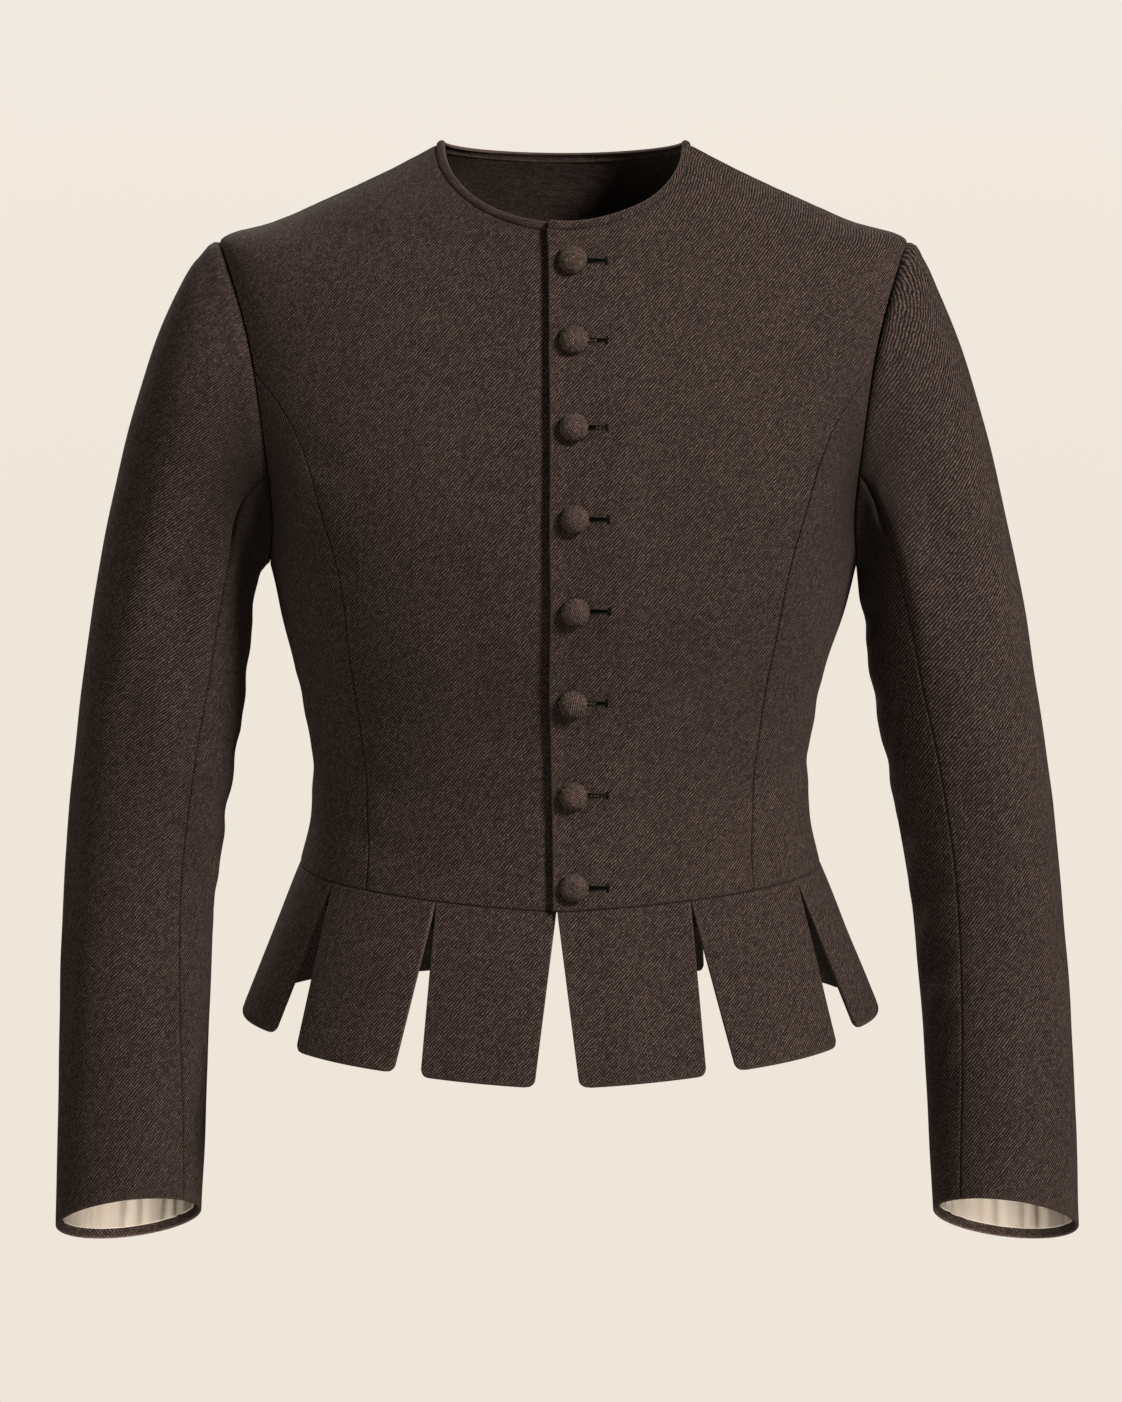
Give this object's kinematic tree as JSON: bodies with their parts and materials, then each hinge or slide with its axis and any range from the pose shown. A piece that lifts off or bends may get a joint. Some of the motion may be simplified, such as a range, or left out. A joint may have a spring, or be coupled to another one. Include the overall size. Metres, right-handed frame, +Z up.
{
  "type": "doublet",
  "caption": "Waist-length doublet in brown wool twill: round neck, buttoned front, shaped long sleeves and a skirt of flared tabs, hollow as worn.",
  "frame": {"origin": "midway between the two points where the shoulder seams meet the neckline", "axes": "+Z up, the front faces -Y, and the wearer's left is at +X"},
  "size_m": [0.671, 0.3143, 0.7232],
  "materials": {
    "wool_twill": "dark brown heathered wool twill, dry with a soft nap",
    "edge_cloth": "the same wool, turned and pressed",
    "button_cover": "the same wool drawn over a domed mould",
    "lining": "smooth cream lining with soft creases"
  },
  "bodies": {
    "root": {"front_left": "wool_twill", "front_right": "wool_twill", "back": "wool_twill", "side_panel_left": "wool_twill", "side_panel_right": "wool_twill", "neck_binding": "edge_cloth", "waist_facing": "edge_cloth", "top_sleeve_left": "wool_twill", "under_sleeve_left": "wool_twill", "sleeve_lining_left": "lining", "skirt_tab_left_1": "wool_twill", "skirt_tab_left_2": "wool_twill", "skirt_tab_left_3": "wool_twill", "skirt_tab_left_4": "wool_twill", "skirt_tab_left_5": "wool_twill", "top_sleeve_right": "wool_twill", "under_sleeve_right": "wool_twill", "sleeve_lining_right": "lining", "skirt_tab_right_1": "wool_twill", "skirt_tab_right_2": "wool_twill", "skirt_tab_right_3": "wool_twill", "skirt_tab_right_4": "wool_twill", "skirt_tab_right_5": "wool_twill", "button_1": "button_cover", "button_2": "button_cover", "button_3": "button_cover", "button_4": "button_cover", "button_5": "button_cover", "button_6": "button_cover", "button_7": "button_cover", "button_8": "button_cover"}
  },
  "joints": []
}
